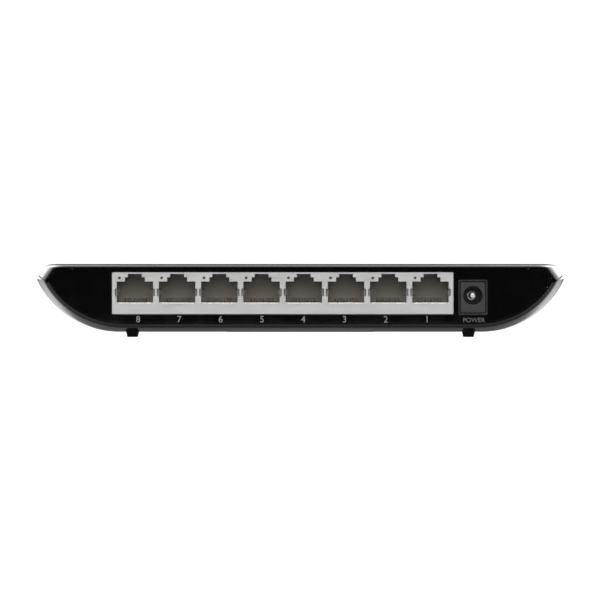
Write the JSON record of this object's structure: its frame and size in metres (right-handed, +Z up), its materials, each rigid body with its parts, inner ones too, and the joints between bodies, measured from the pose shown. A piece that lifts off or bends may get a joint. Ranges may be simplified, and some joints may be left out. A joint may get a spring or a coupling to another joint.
{
  "type": "desktop network switch",
  "caption": "Low, boat-shaped desktop network switch with a gloss case, a shielded row of modular sockets and a barrel power inlet at the rear, and indicator windows at the front.",
  "frame": {"origin": "centre of the footprint, on the surface that the feet stand on", "axes": "+X to the right when facing the ports, +Y from the ports towards the indicator lights, +Z up"},
  "size_m": [0.18, 0.09, 0.0247],
  "materials": {
    "gloss_case": "piano-black gloss",
    "rear_panel": "piano-black gloss, with light print",
    "front_panel": "smoked black gloss",
    "shield": "satin tin plate",
    "connector": "dark grey moulded plastic",
    "carrier": "black moulded plastic",
    "gold": "gold plate",
    "inlet": "dark grey moulded plastic",
    "bright_metal": "bright nickel plate",
    "board": "green solder mask",
    "chip": "black moulding compound",
    "pad": "soft thermal pad",
    "sink": "plain extruded aluminium",
    "ferrite": "pressed ferrite",
    "sleeve": "shrink sleeve",
    "lamp": "milky lamp body",
    "clear": "clear acrylic",
    "screw": "zinc plate",
    "foot": "soft black rubber",
    "label": "blank silver label"
  },
  "bodies": {
    "chassis": {"base_shell": "gloss_case", "top_cover": "gloss_case", "rear_panel": "rear_panel", "front_panel": "front_panel", "port_shield": "shield", "port_housing": "connector", "contact_carrier_1": "carrier", "contact_carrier_2": "carrier", "contact_carrier_3": "carrier", "contact_carrier_4": "carrier", "contact_carrier_5": "carrier", "contact_carrier_6": "carrier", "contact_carrier_7": "carrier", "contact_carrier_8": "carrier", "dc_jack_body": "inlet", "dc_jack_pin": "bright_metal", "main_board": "board", "switch_chip": "chip", "thermal_pad": "pad", "heat_sink": "sink", "lan_transformer_1": "chip", "lan_transformer_2": "chip", "lan_transformer_3": "chip", "lan_transformer_4": "chip", "crystal": "bright_metal", "flash_chip": "chip", "regulator_chip": "chip", "power_inductor": "ferrite", "capacitor_1": "sleeve", "capacitor_2": "sleeve", "led_power": "lamp", "led_1": "lamp", "led_2": "lamp", "led_3": "lamp", "led_4": "lamp", "led_5": "lamp", "led_6": "lamp", "led_7": "lamp", "led_8": "lamp", "light_guide": "clear", "case_screw_1": "screw", "case_screw_2": "screw", "case_screw_3": "screw", "case_screw_4": "screw", "board_screw_1": "screw", "board_screw_2": "screw", "foot_rear_left": "foot", "foot_rear_right": "foot", "foot_front_left": "foot", "foot_front_right": "foot", "rating_label": "label"},
    "contact_set_1": {"contact_springs_1": "gold"},
    "contact_set_2": {"contact_springs_2": "gold"},
    "contact_set_3": {"contact_springs_3": "gold"},
    "contact_set_4": {"contact_springs_4": "gold"},
    "contact_set_5": {"contact_springs_5": "gold"},
    "contact_set_6": {"contact_springs_6": "gold"},
    "contact_set_7": {"contact_springs_7": "gold"},
    "contact_set_8": {"contact_springs_8": "gold"},
    "dc_jack_spring_leaf": {"dc_jack_spring": "bright_metal"}
  },
  "joints": [
    {"name": "contact_flex_1", "type": "hinge", "parent": "chassis", "child": "contact_set_1", "pos_m": [0.04299, -0.0412, 0.0116], "axis": [-1, 0, 0], "range_deg": [0, 8], "stiffness_Nm_per_rad": 0.05},
    {"name": "contact_flex_2", "type": "hinge", "parent": "chassis", "child": "contact_set_2", "pos_m": [0.02902, -0.0412, 0.0116], "axis": [-1, 0, 0], "range_deg": [0, 8], "stiffness_Nm_per_rad": 0.05},
    {"name": "contact_flex_3", "type": "hinge", "parent": "chassis", "child": "contact_set_3", "pos_m": [0.01506, -0.0412, 0.0116], "axis": [-1, 0, 0], "range_deg": [0, 8], "stiffness_Nm_per_rad": 0.05},
    {"name": "contact_flex_4", "type": "hinge", "parent": "chassis", "child": "contact_set_4", "pos_m": [0.00109, -0.0412, 0.0116], "axis": [-1, 0, 0], "range_deg": [0, 8], "stiffness_Nm_per_rad": 0.05},
    {"name": "contact_flex_5", "type": "hinge", "parent": "chassis", "child": "contact_set_5", "pos_m": [-0.01289, -0.0412, 0.0116], "axis": [-1, 0, 0], "range_deg": [0, 8], "stiffness_Nm_per_rad": 0.05},
    {"name": "contact_flex_6", "type": "hinge", "parent": "chassis", "child": "contact_set_6", "pos_m": [-0.02686, -0.0412, 0.0116], "axis": [-1, 0, 0], "range_deg": [0, 8], "stiffness_Nm_per_rad": 0.05},
    {"name": "contact_flex_7", "type": "hinge", "parent": "chassis", "child": "contact_set_7", "pos_m": [-0.04083, -0.0412, 0.0116], "axis": [-1, 0, 0], "range_deg": [0, 8], "stiffness_Nm_per_rad": 0.05},
    {"name": "contact_flex_8", "type": "hinge", "parent": "chassis", "child": "contact_set_8", "pos_m": [-0.0548, -0.0412, 0.0116], "axis": [-1, 0, 0], "range_deg": [0, 8], "stiffness_Nm_per_rad": 0.05},
    {"name": "inlet_spring_flex", "type": "hinge", "parent": "chassis", "child": "dc_jack_spring_leaf", "pos_m": [0.05704, -0.0325, 0.01005], "axis": [1, 0, 0], "range_deg": [0, 3], "stiffness_Nm_per_rad": 0.05}
  ]
}
